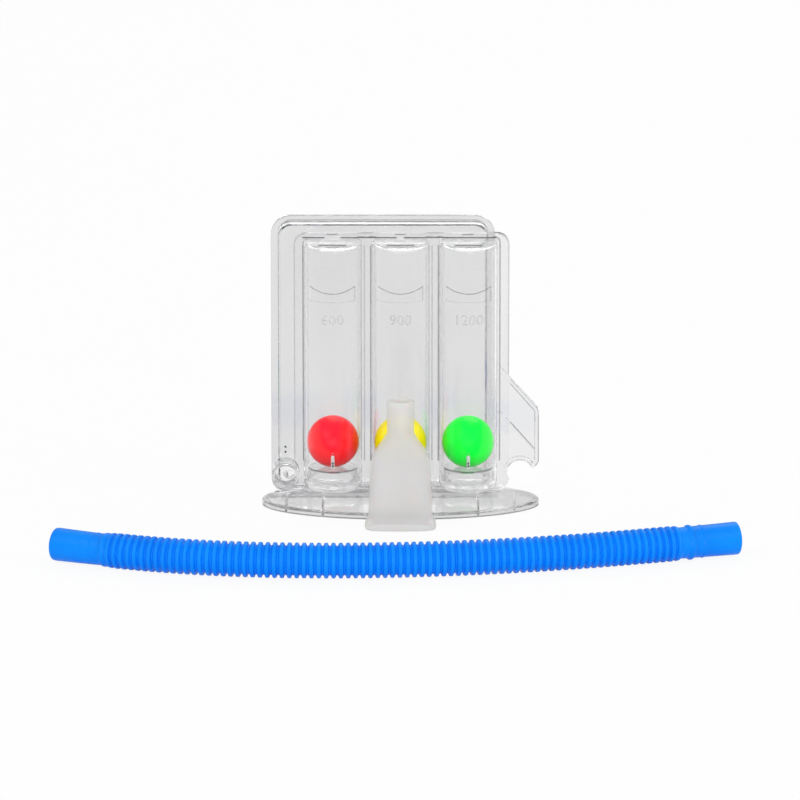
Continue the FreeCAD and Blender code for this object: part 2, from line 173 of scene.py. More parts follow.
def hose_radius(s):
    total = HOSE_LENGTH / MM
    if s < RIBS_FROM:
        r = CUFF_END_RADIUS + (CUFF_RADIUS - CUFF_END_RADIUS) * min(s / LEFT_CUFF, 1.0)
        r -= bump_at(s, MOULD_LINE, MOULD_LINE_WIDTH, MOULD_LINE_DEPTH)
        return r + bump_at(s, LEFT_CUFF + COLLAR / 2, COLLAR, COLLAR_RISE)
    if s > total - RIGHT_CUFF:
        back = total - s
        r = CUFF_END_RADIUS + (CUFF_RADIUS - RIGHT_CUFF_LESS - CUFF_END_RADIUS) * back / RIGHT_CUFF
        for bead in RIGHT_BEADS:
            r += bump_at(back, *bead)
        return r
    turn = (s - RIBS_FROM) / (total - RIBS_FROM - RIGHT_CUFF) * RIB_COUNT
    from_end = min(turn, RIB_COUNT - turn)
    valley = RIB_VALLEY + (CUFF_RADIUS - RIB_VALLEY) * max(0.0, 1.0 - from_end)
    return valley + (RIB_CREST - valley) * rib_wave(turn) * min(1.0, 0.6 + 0.5 * from_end)


def hose_stations(per_rib):
    total = HOSE_LENGTH / MM
    pitch = (total - RIBS_FROM - RIGHT_CUFF) / RIB_COUNT
    marks = [LEFT_CUFF * i / 28 for i in range(29)]
    marks += [MOULD_LINE + MOULD_LINE_WIDTH / 2 * side for side in (-1, 0, 1)]
    marks += [LEFT_CUFF + COLLAR * i / 10 for i in range(1, 11)]
    marks += [RIBS_FROM + pitch * i / per_rib for i in range(1, RIB_COUNT * per_rib)]
    marks += [total - RIGHT_CUFF + RIGHT_CUFF * i / 60 for i in range(61)]
    return sorted(set(round(m, 4) for m in marks))


print("rib pitch mm:", round((HOSE_LENGTH / MM - RIBS_FROM - RIGHT_CUFF) / RIB_COUNT, 2))

# %% [markdown]
# Meshes from rings. Most pieces here are turned, bent or drawn out, so they are built from rings of points
# with four-sided faces between them. The two ends can be capped, or the last ring joined to the first, which
# gives a wall with an inside. The pip is the smallest of them: a low dome that stands on any face.

# %% Ring meshes
PIP_LIFTS = (-18, 0, 25, 50, 72, 86)
PIP_ROUND = 16


def mesh_of_rings(name, rings, closed_ends=False, joined=False):
    count = len(rings[0])
    points = [p for ring in rings for p in ring]
    faces = []
    pairs = list(zip(range(len(rings)), range(1, len(rings))))
    if joined:
        pairs.append((len(rings) - 1, 0))
    for a, b in pairs:
        for i in range(count):
            j = (i + 1) % count
            faces.append((a * count + i, a * count + j, b * count + j, b * count + i))
    if closed_ends:
        faces.append(tuple(reversed(range(count))))
        faces.append(tuple(range((len(rings) - 1) * count, len(rings) * count)))
    mesh = bpy.data.meshes.new(name)
    mesh.from_pydata(points, [], faces)
    mesh.update()
    for polygon in mesh.polygons:
        polygon.use_smooth = True
    piece = bpy.data.objects.new(name, mesh)
    bpy.context.collection.objects.link(piece)
    return piece


def pip(name, centre, facing, r, rise):
    side = facing.orthogonal().normalized()
    over = facing.cross(side)
    turns = [2 * math.pi * i / PIP_ROUND for i in range(PIP_ROUND)]
    rings = []
    for lift in PIP_LIFTS:
        angle = math.radians(lift)
        spot = centre + facing * rise * math.sin(angle) * MM
        wide = math.cos(angle)
        rings.append([spot + (side * math.cos(t) + over * math.sin(t)) * r * wide * MM for t in turns])
    return mesh_of_rings(name, rings, closed_ends=True)


print("points round a pip:", PIP_ROUND)

# %% [markdown]
# The hose's mesh. Each station gets a ring of points square to the line. The line is flat on the table, so
# one level direction and the upright direction are enough, and the rings never twist. The outer skin runs to
# the right end, rolls over a rounded lip and comes back as the inner skin, which makes one closed body.

# %% Hose mesh
HOSE_ROUND = 44
NUB_AT = 22.9


def on_hose(s):
    wanted = min(max(s * MM, 0.0), HOSE_LENGTH)
    low, high = 0, len(hose_marks) - 1
    while high - low > 1:
        middle = (low + high) // 2
        if hose_marks[middle] <= wanted:
            low = middle
        else:
            high = middle
    share = (wanted - hose_marks[low]) / (hose_marks[high] - hose_marks[low])
    spot = hose_points[low].lerp(hose_points[high], share)
    before = hose_points[max(low - 2, 0)]
    after = hose_points[min(high + 2, len(hose_points) - 1)]
    return spot, (after - before).normalized()


def hose_ring(s, r):
    spot, along = on_hose(s)
    side = Vector((along.y, -along.x, 0.0)).normalized()
    turns = [2 * math.pi * i / HOSE_ROUND for i in range(HOSE_ROUND)]
    return [spot + (side * math.cos(turn) + UP * math.sin(turn)) * r * MM for turn in turns]


def make_hose():
    total = HOSE_LENGTH / MM
    profile = [(0.0, hose_radius(0) - 0.45), (0.12, hose_radius(0) - 0.15)]
    profile += [(s, hose_radius(s)) for s in hose_stations(12)[1:-1] if s > 0.4]
    profile += [(total - 0.12, hose_radius(total) - 0.15), (total, hose_radius(total) - 0.45)]
    inner = [(s, hose_radius(s) - HOSE_SKIN) for s in hose_stations(6) if 0.4 < s < total - 0.4]
    inner = [(0.12, inner[0][1] + 0.1)] + inner + [(total - 0.12, inner[-1][1] + 0.1)]
    rings = [hose_ring(s, r) for s, r in profile + inner[::-1]]
    return mesh_of_rings("hose_bellows", rings, joined=True)


hose = make_hose()
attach(hose, "tube")
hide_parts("hose")
nub = pip("hose_nub", on_hose(NUB_AT)[0] + UP * (CUFF_RADIUS - 0.05) * MM, UP, 0.7, 0.55)
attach(nub, "tube")
print("hose faces:", len(hose.data.polygons))

# %% [markdown]
# Shader helpers. Every material below is a small node tree. These helpers keep the cells short: one adds a
# node with its settings, and another builds a node group with named sockets, so an effect that several
# plastics share is drawn once and placed in each of them with its own numbers.

# %% Shader helpers
NUMBER = "NodeSocketFloat"
COLOUR = "NodeSocketColor"


def add(tree, kind, inputs=None, **settings):
    made = tree.nodes.new(kind)
    for key, value in settings.items():
        setattr(made, key, value)
    for key, value in (inputs or {}).items():
        if isinstance(value, bpy.types.NodeSocket):
            tree.links.new(value, made.inputs[key])
        else:
            made.inputs[key].default_value = value
    return made


def new_group(name, inputs, outputs):
    tree = bpy.data.node_groups.new(name, "ShaderNodeTree")
    for label, kind, value in inputs:
        socket = tree.interface.new_socket(label, in_out="INPUT", socket_type=kind)
        socket.default_value = value
    for label, kind in outputs:
        tree.interface.new_socket(label, in_out="OUTPUT", socket_type=kind)
    return tree, tree.nodes.new("NodeGroupInput").outputs, tree.nodes.new("NodeGroupOutput").inputs


def put_group(tree, group, **values):
    made = tree.nodes.new("ShaderNodeGroup")
    made.node_tree = group
    for label, value in values.items():
        made.inputs[label.replace("_", " ")].default_value = value
    return made


def new_material(name):
    made = bpy.data.materials.new(name)
    made.use_nodes = True
    made.node_tree.nodes.clear()
    return made, made.node_tree


print("socket kinds:", NUMBER, COLOUR)

# %% [markdown]
# Four small steps come back in nearly every plastic: a grey that may lean to blue, the larger of two masks, a
# mask spread between two values, and a normal that follows the swell of the skin.

# %% Steps that come back
def grey(level, blue=0.0):
    return (level, level, level + blue, 1)


def larger_of(tree, one, other):
    return add(tree, "ShaderNodeMath", {0: one, 1: other}, operation="MAXIMUM").outputs["Value"]


def between(tree, mask, low, high):
    return add(tree, "ShaderNodeMapRange", {"Value": mask, "To Min": low, "To Max": high}).outputs["Result"]


def swell_normal(tree, skin, strength, depth):
    settings = {"Strength": strength, "Distance": depth, "Height": skin.outputs["Height"]}
    return add(tree, "ShaderNodeBump", settings).outputs["Normal"]


print("a grey that leans to blue:", grey(0.5, 0.02))

# %% [markdown]
# The moulded skin. A polished mould still leaves a faint orange-peel swell and the part picks up finger
# smudges in the box. One group gives both: a height for a Bump node and a smudge mask for roughness. It
# works in object coordinates, so the marks keep their size on small and large pieces alike.

# %% Group: moulded skin
skin_group, given, out = new_group(
    "moulded_skin",
    [("Swell Scale", NUMBER, 260.0), ("Smudge Scale", NUMBER, 38.0), ("Smudge Low", NUMBER, 0.45)],
    [("Height", NUMBER), ("Smudge", NUMBER)],
)
spot = add(skin_group, "ShaderNodeTexCoord").outputs["Object"]
swell = add(skin_group, "ShaderNodeTexNoise", {"Vector": spot, "Scale": given["Swell Scale"], "Detail": 3.0})
film = add(
    skin_group, "ShaderNodeTexNoise",
    {"Vector": spot, "Scale": given["Smudge Scale"], "Detail": 5.0, "Roughness": 0.62, "Distortion": 0.6},
)
patch = add(
    skin_group, "ShaderNodeMapRange",
    {"Value": film.outputs["Fac"], "From Min": given["Smudge Low"], "From Max": 0.72},
)
skin_group.links.new(swell.outputs["Fac"], out["Height"])
skin_group.links.new(patch.outputs["Result"], out["Smudge"])
print("group:", skin_group.name)

# %% [markdown]
# Scuff lines. Clear plastic shows hair-fine rub marks from its packing. Noise that is stretched hard in one
# direction looks like parallel hairs, and two such layers turned against each other look like real rubbing.
# The mask goes to the roughness, never to the shape.

# %% Group: scuff lines
scuff_group, given, out = new_group(
    "scuff_lines", [("Scale", NUMBER, 900.0), ("Threshold", NUMBER, 0.66)], [("Mask", NUMBER)]
)
spot = add(scuff_group, "ShaderNodeTexCoord").outputs["Object"]
hairs = []
for tilt in (0.5, -1.1):
    turned = add(
        scuff_group, "ShaderNodeMapping",
        {"Vector": spot, "Rotation": Euler((0.3, tilt, 0.7 * tilt)), "Scale": (1.0, 0.05, 0.9)},
    )
    noise = add(
        scuff_group, "ShaderNodeTexNoise",
        {"Vector": turned.outputs["Vector"], "Scale": given["Scale"], "Detail": 2.0},
    )
    hairs.append(add(
        scuff_group, "ShaderNodeMapRange",
        {"Value": noise.outputs["Fac"], "From Min": given["Threshold"], "From Max": 0.82},
    ).outputs["Result"])
scuff_group.links.new(larger_of(scuff_group, *hairs), out["Mask"])
print("group:", scuff_group.name)

# %% [markdown]
# Tone drift. Coloured plastic is never one even colour: pigment streaks along the flow and thick places
# look deeper. This group blends two near shades with slow, slightly stretched noise. Keeping the two shades
# as inputs lets each material choose its own pair.

# %% Group: tone drift
drift_group, given, out = new_group(
    "tone_drift",
    [("Shade", COLOUR, grey(0.8)), ("Deep Shade", COLOUR, grey(0.6)), ("Scale", NUMBER, 60.0)],
    [("Color", COLOUR)],
)
spot = add(drift_group, "ShaderNodeTexCoord").outputs["Object"]
flow = add(drift_group, "ShaderNodeMapping", {"Vector": spot, "Scale": (1.0, 1.0, 0.45)})
streak = add(
    drift_group, "ShaderNodeTexNoise",
    {"Vector": flow.outputs["Vector"], "Scale": given["Scale"], "Detail": 4.0, "Distortion": 0.8},
)
level = add(
    drift_group, "ShaderNodeMapRange", {"Value": streak.outputs["Fac"], "From Min": 0.38, "From Max": 0.66}
)
blend = add(
    drift_group, "ShaderNodeMix",
    {"Factor": level.outputs["Result"], "A": given["Shade"], "B": given["Deep Shade"]}, data_type="RGBA",
)
drift_group.links.new(blend.outputs["Result"], out["Color"])
print("group:", drift_group.name)

# %% [markdown]
# Clear plastic. The housing, foot and seats are crystal-clear styrene: the surface bends light with an index
# of about 1.5, and the body takes a little light away, which is why its edges look grey where one looks
# along the wall. A Transparent shader stands in for lamp rays only, so that the balls inside are lit. The
# housing and the foot get darker pairs of shades, and these are painted: painted shade on the housing, the
# grey its surroundings give it, and a painted shadow on the foot, the floor's shadow seen through it.

# %% Clear plastic
EDGE_TINT = grey(0.5, 0.02)
LAMP_TINT = (0.965, 0.97, 0.97, 1)
SEATS = ("seat_left", "seat_centre", "seat_right")
CLEAR = {
    # shade, deep shade, density, roughness, smudged roughness, the nodes that wear it
    "column": (grey(0.975), grey(0.958, 0.004), 6.0, 0.012, 0.09, ("front_shell",)),
    # painted shade: the grey that its surroundings give the clear housing
    "housing": (grey(0.875), grey(0.85, 0.005), 5.0, 0.012, 0.09, ("manifold", "back_cover")),
    # painted shadow: the floor's shadow under the foot, seen through it
    "foot": (grey(0.73), grey(0.67, 0.005), 3.0, 0.02, 0.12, ("base_foot",)),
    "seat": (grey(0.95), grey(0.93), 16.0, 0.012, 0.08, SEATS),
}


def clear_plastic(name, shade, deep_shade, density, rough, smudge_rough):
    made, tree = new_material(name)
    skin = put_group(tree, skin_group, Swell_Scale=220.0, Smudge_Scale=34.0, Smudge_Low=0.5)
    scuff = put_group(tree, scuff_group, Scale=1100.0, Threshold=0.7)
    tone = put_group(tree, drift_group, Shade=shade, Deep_Shade=deep_shade, Scale=30.0)
    marks = larger_of(tree, skin.outputs["Smudge"], scuff.outputs["Mask"])
    glass = add(
        tree, "ShaderNodeBsdfPrincipled",
        {
            "Base Color": tone.outputs["Color"], "Roughness": between(tree, marks, rough, smudge_rough),
            "Normal": swell_normal(tree, skin, 0.06, 0.0004), "IOR": 1.5, "Transmission Weight": 1.0,
            "Specular Tint": grey(0.35),
        },
    )
    open_air = add(tree, "ShaderNodeBsdfTransparent", {"Color": LAMP_TINT})
    lamp_rays = add(tree, "ShaderNodeLightPath").outputs["Is Shadow Ray"]
    both = add(tree, "ShaderNodeMixShader", {0: lamp_rays, 1: glass.outputs[0], 2: open_air.outputs[0]})
    body = add(tree, "ShaderNodeVolumeAbsorption", {"Color": EDGE_TINT, "Density": density})
    add(tree, "ShaderNodeOutputMaterial", {"Surface": both.outputs[0], "Volume": body.outputs[0]})
    return made


for look, (*values, wearers) in CLEAR.items():
    material = clear_plastic(f"clear_{look}_plastic", *values)
    for node_name in wearers:
        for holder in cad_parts[node_name].material_slots:
            holder.material = material
    print(material.name, "on", ", ".join(wearers))

# %% [markdown]
# A hair of air. The mouldings touch face to face, and two glass faces in exactly one plane confuse the ray
# tracer, which then draws black bands. A Displace modifier shifts a whole piece by a few hundredths of a
# millimetre, as real parts stand apart. The meshes themselves stay as the CAD program made them.

# %% Hair gaps
HAIR_GAP = 0.03 * MM


def stand_off(node_name, direction, amount):
    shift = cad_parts[node_name].modifiers.new("hair_gap", "DISPLACE")
    shift.direction = direction
    shift.mid_level = 0.0
    shift.strength = amount


stand_off("front_shell", "Y", -HAIR_GAP)
stand_off("back_cover", "Y", HAIR_GAP)
for node_name in SEATS:
    stand_off(node_name, "Z", HAIR_GAP)
print("hair gap mm:", HAIR_GAP / MM)

# %% [markdown]
# Solid-coloured plastic. The balls and the hose are pigmented right through and satin. They share
# one recipe: two near shades, a swell in the surface, and smudges that change the gloss. The shine is low,
# because a white room mirrored in a coloured skin would wash the colour out.

# %% Pigmented plastic
def pigmented(
    name, shade, deep_shade, rough, smudge_rough, drift=60.0, swell=300.0, depth=0.0003, shine=0.22,
):
    made, tree = new_material(name)
    skin = put_group(tree, skin_group, Swell_Scale=swell, Smudge_Scale=55.0, Smudge_Low=0.42)
    tone = put_group(tree, drift_group, Shade=shade, Deep_Shade=deep_shade, Scale=drift)
    scuff = put_group(tree, scuff_group, Scale=800.0, Threshold=0.68)
    marks = larger_of(tree, skin.outputs["Smudge"], scuff.outputs["Mask"])
    body = add(
        tree, "ShaderNodeBsdfPrincipled",
        {
            "Base Color": tone.outputs["Color"], "Roughness": between(tree, marks, rough, smudge_rough),
            "Normal": swell_normal(tree, skin, 0.25, depth), "Specular IOR Level": shine,
        },
    )
    add(tree, "ShaderNodeOutputMaterial", {"Surface": body.outputs[0]})
    return made


hose_blue = pigmented("blue_hose_plastic", (0.0, 0.25, 0.93, 1), (0.0, 0.22, 0.88, 1), 0.36, 0.5, shine=0.12)
hose.data.materials.append(hose_blue)
nub.data.materials.append(hose_blue)
print("material:", hose_blue.name)

# %% [markdown]
# The balls. Each ball is two moulded halves welded at the middle, which leaves a low ridge round it and a
# small flat gate mark. A plain sphere would look like a stand-in, so the ball is turned from a profile that
# has the ridge, and each one has rolled to its own angle in its seat.

# %% Ball shape
BALL_R = 12.7
BALL_SLACK = 0.01
BALL_ROUND = 96
SEAM_HALF = 0.35
SEAM_RISE = 0.07
GATE_FROM = 86.5
GATE_FLAT = 0.12


def ball_radius(lift):
    away = abs(lift) * math.radians(1) * BALL_R
    seam = SEAM_RISE * math.exp(-((away / SEAM_HALF) ** 2))
    near_pole = max(0.0, (abs(lift) - GATE_FROM) / (90 - GATE_FROM))
    return BALL_R - BALL_SLACK + seam - GATE_FLAT * near_pole ** 2


def make_ball(name, node_name, body, tilt):
    low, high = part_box(node_name)
    centre = (Vector(low) + Vector(high)) / 2
    lifts = [-89.3, -88, -86.5, -84] + list(range(-80, -5, 4)) + [-4, -2.5, -1.6, -0.8, 0]
    lifts += [-lift for lift in reversed(lifts[:-1])]
    turn = Euler(tilt).to_matrix()
    rings = []
    for lift in lifts:
        angle = math.radians(lift)
        r = ball_radius(lift) * MM
        ring = []
        for i in range(BALL_ROUND):
            about = 2 * math.pi * i / BALL_ROUND
            flat = math.cos(angle)
            spot = Vector((flat * math.cos(about), flat * math.sin(about), math.sin(angle)))
            ring.append(centre + turn @ (spot * r))
        rings.append(ring)
    ball = mesh_of_rings(name, rings, closed_ends=True)
    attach(ball, body)
    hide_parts(node_name)
    return ball


print("ball across mm:", 2 * BALL_R)

# %% [markdown]
# The three balls differ only in colour and in the angle at which they came to rest, so a small table holds
# those. The deep shade of each pair is the same hue a little darker.

# %% Balls
BALLS = {
    "red": ((0.94, 0.006, 0.014, 1), (0.88, 0.004, 0.01, 1), (0.5, 0.35, 0.0)),
    "yellow": ((1.0, 0.86, 0.0, 1), (0.95, 0.78, 0.0, 1), (-0.4, 0.6, 0.3)),
    "green": ((0.0, 1.0, 0.045, 1), (0.0, 0.93, 0.035, 1), (0.7, -0.3, 0.8)),
}
for colour, (shade, deep, tilt) in BALLS.items():
    ball = make_ball(colour + "_float_ball", "ball_" + colour, colour, tilt)
    ball.data.materials.append(pigmented(
        colour + "_ball_plastic", shade, deep, 0.3, 0.42, drift=90.0, swell=420.0, depth=0.0001, shine=0.15,
    ))
    print(ball.name, "faces", len(ball.data.polygons))

# %% [markdown]
# The mouthpiece. It is a thin milky moulding: a round neck that fits the hose, sloping shoulders, and a flat
# oval end for the lips with a small flared foot. A short table of levels carries the whole shape. Each level
# is a superellipse, which goes from round to a rounded box just by changing its power.

# %% Mouthpiece levels
MOUTH_Y = -47.2
MOUTH_ROUND = 56
MOUTH_SKIN = 1.2
MOUTH_LEVELS = (
    # height, width, depth, power
    (0.0, 33.8, 15.3, 3.8), (0.3, 34.3, 15.6, 3.8), (1.0, 34.6, 15.6, 3.8), (2.0, 34.6, 15.3, 3.75),
    (3.0, 34.2, 14.9, 3.7), (4.0, 33.4, 14.4, 3.65), (5.0, 32.4, 13.9, 3.55), (6.0, 31.5, 13.5, 3.45),
    (6.8, 31.2, 13.3, 3.4), (9.0, 31.0, 13.25, 3.35), (16.0, 30.5, 13.25, 3.15), (24.0, 29.7, 13.25, 2.95),
    (31.0, 28.7, 13.25, 2.8), (35.0, 27.6, 13.25, 2.7), (37.5, 26.0, 13.25, 2.6), (40.0, 23.2, 13.25, 2.45),
    (42.5, 19.3, 13.25, 2.25), (44.5, 16.4, 13.25, 2.1), (46.3, 14.6, 13.25, 2.0), (47.35, 13.6, 13.25, 2.0),
)
FIRST_BODY_LEVEL = 10
NECK = 13.2
NECK_TOP = 63.5
NECK_LEVELS = (
    # height, diameter
    (47.45, NECK), (48.4, NECK), (55.0, NECK), (60.4, NECK), (60.9, NECK + 0.26), (61.6, NECK + 0.26),
    (62.1, NECK), (63.05, NECK - 0.06), (63.4, NECK - 0.3),
)


def oval_ring(z, width, depth, power):
    ring = []
    for i in range(MOUTH_ROUND):
        turn = 2 * math.pi * (i + 0.5) / MOUTH_ROUND
        c, s = math.cos(turn), math.sin(turn)
        x = math.copysign(abs(c) ** (2 / power), c) * width / 2
        y = math.copysign(abs(s) ** (2 / power), s) * depth / 2
        ring.append(Vector((x, MOUTH_Y + y, z)) * MM)
    return ring


def round_ring(z, across):
    return oval_ring(z, across, across, 2.0)


print("levels:", len(MOUTH_LEVELS) + len(NECK_LEVELS))

# %% [markdown]
# The mouthpiece's mesh goes up the outside, over the rim of the neck and down the inside, one wall thickness
# in, and closes on itself at the lips. A subdivision surface takes the flats off between the levels.

# %% Mouthpiece mesh
def make_mouthpiece():
    thin = 2 * MOUTH_SKIN
    outer = [oval_ring(*level) for level in MOUTH_LEVELS]
    outer += [round_ring(z, across) for z, across in NECK_LEVELS]
    rim = [round_ring(NECK_TOP, across) for across in (NECK - 0.8, NECK - thin + 0.4)]
    inner = [round_ring(z, NECK - thin) for z in (63.1, 58.0, 48.0)]
    for z, width, depth, power in reversed(MOUTH_LEVELS[FIRST_BODY_LEVEL:-1]):
        inner.append(oval_ring(z - 0.5, width - thin, depth - thin, power))
    inner += [oval_ring(z, 30.2 - thin, 13.25 - thin, 3.3) for z in (8.0, 3.0, 0.6)]
    inner.append(oval_ring(0.0, 30.9 - thin, 13.9 - thin, 3.3))
    piece = mesh_of_rings("mouthpiece_moulding", outer + rim + inner, joined=True)
    smooth = piece.modifiers.new("smooth", "SUBSURF")
    smooth.levels = 1
    smooth.render_levels = 1
    return piece


mouth = make_mouthpiece()
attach(mouth, "mouth")
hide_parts("mouthpiece")
print("mouthpiece rings:", len(mouth.data.vertices) // MOUTH_ROUND)

# %% [markdown]
# Milky plastic. The mouthpiece is thin natural polyethylene: white, satin, and you can just see through it.
# Glass would be wrong here, because nothing shows sharply behind it. An opaque white skin with an Alpha below
# one does it: each of the four skins in the line of sight hides a part. The photograph's neck shows more of
# what is behind it than the body does, so the skin hides a little less up there.

# %% Milky plastic
MILK = (0.835, 0.822, 0.79, 1)
DEEP_MILK = (0.805, 0.788, 0.748, 1)
BODY_HIDES = 0.57
NECK_HIDES = 0.46


def milky_plastic():
    made, tree = new_material("milky_mouthpiece_plastic")
    skin = put_group(tree, skin_group, Swell_Scale=160.0, Smudge_Scale=45.0, Smudge_Low=0.4)
    tone = put_group(tree, drift_group, Shade=MILK, Deep_Shade=DEEP_MILK, Scale=45.0)
    spot = add(tree, "ShaderNodeTexCoord")
    height = add(tree, "ShaderNodeSeparateXYZ", {"Vector": spot.outputs["Object"]})
    hiding = add(
        tree, "ShaderNodeMapRange",
        {
            "Value": height.outputs["Z"], "From Min": 0.028, "From Max": 0.05,
            "To Min": BODY_HIDES, "To Max": NECK_HIDES,
        },
    )
    milk = add(
        tree, "ShaderNodeBsdfPrincipled",
        {
            "Base Color": tone.outputs["Color"], "IOR": 1.45, "Alpha": hiding.outputs["Result"],
            "Roughness": between(tree, skin.outputs["Smudge"], 0.34, 0.46),
            "Normal": swell_normal(tree, skin, 0.2, 0.0004),
            "Subsurface Weight": 0.25, "Subsurface Scale": 0.002,
        },
    )
    add(tree, "ShaderNodeOutputMaterial", {"Surface": milk.outputs[0]})
    return made


mouth.data.materials.append(milky_plastic())
print("material:", mouth.data.materials[0].name)

# %% [markdown]
# Frosted plastic and painted lines. Where the mould was etched or a gate was cut, the clear plastic is matt.
# The hairlines are painted light: fine clear edges turn the light away and look grey, so most lines are
# painted shade, and the pale one is a painted highlight. All are thin skins with an Alpha below one, from
# white frost to dark hairlines, so one recipe with a shade and a strength serves all of them.

# %% Frosted plastic and painted lines
def frost_and_painted_lines(name, shade, deep_shade, strength):
    made, tree = new_material(name)
    skin = put_group(tree, skin_group, Swell_Scale=900.0, Smudge_Scale=300.0, Smudge_Low=0.4)
    tone = put_group(tree, drift_group, Shade=shade, Deep_Shade=deep_shade, Scale=500.0)
    frost = add(
        tree, "ShaderNodeBsdfPrincipled",
        {
            "Base Color": tone.outputs["Color"], "Roughness": 0.35, "IOR": 1.5, "Specular IOR Level": 0.2,
            "Normal": swell_normal(tree, skin, 0.3, 0.0002),
            "Alpha": between(tree, skin.outputs["Smudge"], strength, strength * 0.8),
        },
    )
    add(tree, "ShaderNodeOutputMaterial", {"Surface": frost.outputs[0]})
    return made


gate_frost = frost_and_painted_lines("frosted_gate_plastic", grey(0.93), grey(0.84), 0.62)
# Painted light: the pale line is a painted highlight, the other lines are painted shade from faint to dark.
painted_highlight_line = frost_and_painted_lines("painted_highlight_hairline", grey(0.95), grey(0.9), 0.4)
painted_faint_shade_line = frost_and_painted_lines("painted_faint_shade_hairline", grey(0.5, 0.01), grey(0.42, 0.01), 0.13)
painted_soft_shade_line = frost_and_painted_lines("painted_soft_shade_hairline", grey(0.5, 0.01), grey(0.42, 0.01), 0.3)
painted_grey_shade_line = frost_and_painted_lines("painted_grey_shade_hairline", grey(0.3, 0.01), grey(0.22, 0.01), 0.42)
painted_dark_shade_line = frost_and_painted_lines("painted_dark_shade_hairline", (0.14, 0.13, 0.15, 1), (0.09, 0.085, 0.1, 1), 0.62)
for look in (gate_frost, painted_highlight_line, painted_faint_shade_line, painted_soft_shade_line, painted_grey_shade_line, painted_dark_shade_line):
    print("frosted:", look.name)

# %% [markdown]
# Ridges. Fine raised lines run over flat and round faces. A ridge is drawn on a flat track first, and a
# placing function then lays each of its points on the real face, so the same few lines of code serve the
# columns, the walls, the foot and the inside of a bore. Trim of this kind rides on the housing.

# %% Ridges
COLUMN_RADIUS = 14.2
COLUMN_Y = -6.4
COLUMNS = {"left": -33.0, "centre": 0.0, "right": 33.0}
RIDGE_SINK = 0.02
RIDGE_ROOT = 0.2


def on_round(x0, radius, across, z, out=0.0):
    angle = math.asin(max(-1.0, min(1.0, across / radius)))
    r = radius + out
    return Vector((x0 + r * math.sin(angle), COLUMN_Y - r * math.cos(angle), z)) * MM


def on_column(x0, across, z, out=0.0):
    return on_round(x0, COLUMN_RADIUS, across, z, out)


def ridge(name, place, track, half, rise):
    rings = []
    for i, (across, z) in enumerate(track):
        ahead = track[min(i + 1, len(track) - 1)]
        behind = track[max(i - 1, 0)]
        run = Vector((ahead[0] - behind[0], ahead[1] - behind[1])).normalized()
        over = Vector((-run.y, run.x))
        ring = []
        for k in range(6):
            turn = math.pi * k / 5
            shift = over * half * math.cos(turn)
            ring.append(place(across + shift.x, z + shift.y, rise * math.sin(turn) - RIDGE_SINK))
        ring.append(place(across, z, -RIDGE_ROOT))
        rings.append(ring)
    return mesh_of_rings(name, rings, closed_ends=True)


def fit_trim(piece, look):
    piece.data.materials.append(look)
    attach(piece, "housing")
    return piece


print("columns at x mm:", list(COLUMNS.values()))

# %% [markdown]
# Raised marks on the columns. Each column carries a frame of fine raised lines with a smile-shaped top and a
# level foot. Their shades are painted light: painted shade on the smile, the level foot and the right side,
# and a painted highlight on the left side. The real one's lettering is left off, and a plain flow number
# comes below the frame later on.

# %% Column marks
FRAME_HALF, FRAME_SIDE, FRAME_MIDDLE, FRAME_FOOT = 10.8, 112.8, 110.0, 105.8
LINE_HALF = 0.26
LINE_RISE = 0.24


def frame_tracks():
    sag = FRAME_SIDE - FRAME_MIDDLE
    smile = [(FRAME_HALF * t, FRAME_MIDDLE + sag * t * t) for t in (-1 + i / 20 for i in range(41))]
    upright = [FRAME_FOOT + (FRAME_SIDE - FRAME_FOOT) * i / 6 for i in range(7)]
    # Painted light: shade on the smile, the level foot and the right side, a highlight on the left side.
    return {
        "smile": (smile, painted_grey_shade_line),
        "level": ([(FRAME_HALF * (-1 + i / 12), FRAME_FOOT) for i in range(25)], painted_faint_shade_line),
        "left": ([(-FRAME_HALF, z) for z in upright], painted_highlight_line),
        "right": ([(FRAME_HALF, z) for z in upright], painted_soft_shade_line),
    }


for side, x0 in COLUMNS.items():
    for label, (track, look) in frame_tracks().items():
        fit_trim(ridge(f"mark_{side}_{label}", partial(on_column, x0), track, LINE_HALF, LINE_RISE), look)
print("frame lines:", 4 * len(COLUMNS))

# %% [markdown]
# Faces for the edge beads. The mouldings' corners are not sharp: where two walls meet, a fine rounded bead
# runs along the edge. Each bead carries a hairline of painted shade, grey at the sides and nearly black at
# the top, where the edge faces away from the light. First come the faces that the beads lie on, and two ways
# to draw a track.

# %% Bead faces
FOOT_HALF_WIDTH = 67.75
FOOT_HALF_DEPTH = 31.95
FOOT_TURN = 50.0
COLUMN_TOP = 132.6
PORT_X, PORT_Z = -56.2, 14.8
SPIGOT_RADIUS = 6.7
BORE_RADIUS = 5.4


def on_flat(y, x, z, out=0.0):
    return Vector((x, y - out, z)) * MM


def on_foot(s, z, out=0.0):
    turn = s / FOOT_TURN
    x, y = (FOOT_HALF_WIDTH + out) * math.cos(turn), (FOOT_HALF_DEPTH + out) * math.sin(turn)
    return Vector((x, y, z)) * MM


def on_head(x, y, out=0.0):
    return Vector((x, y, COLUMN_TOP + out)) * MM


def on_spigot(s, y, out=0.0, radius=SPIGOT_RADIUS):
    turn = s / radius
    r = radius + out
    return Vector((PORT_X + r * math.cos(turn), y, PORT_Z + r * math.sin(turn))) * MM


def in_bore(s, y, out=0.0):
    return on_spigot(s, y, -out, BORE_RADIUS)


def straight(start, end, steps=6):
    (x0, z0), (x1, z1) = start, end
    return [(x0 + (x1 - x0) * i / steps, z0 + (z1 - z0) * i / steps) for i in range(steps + 1)]


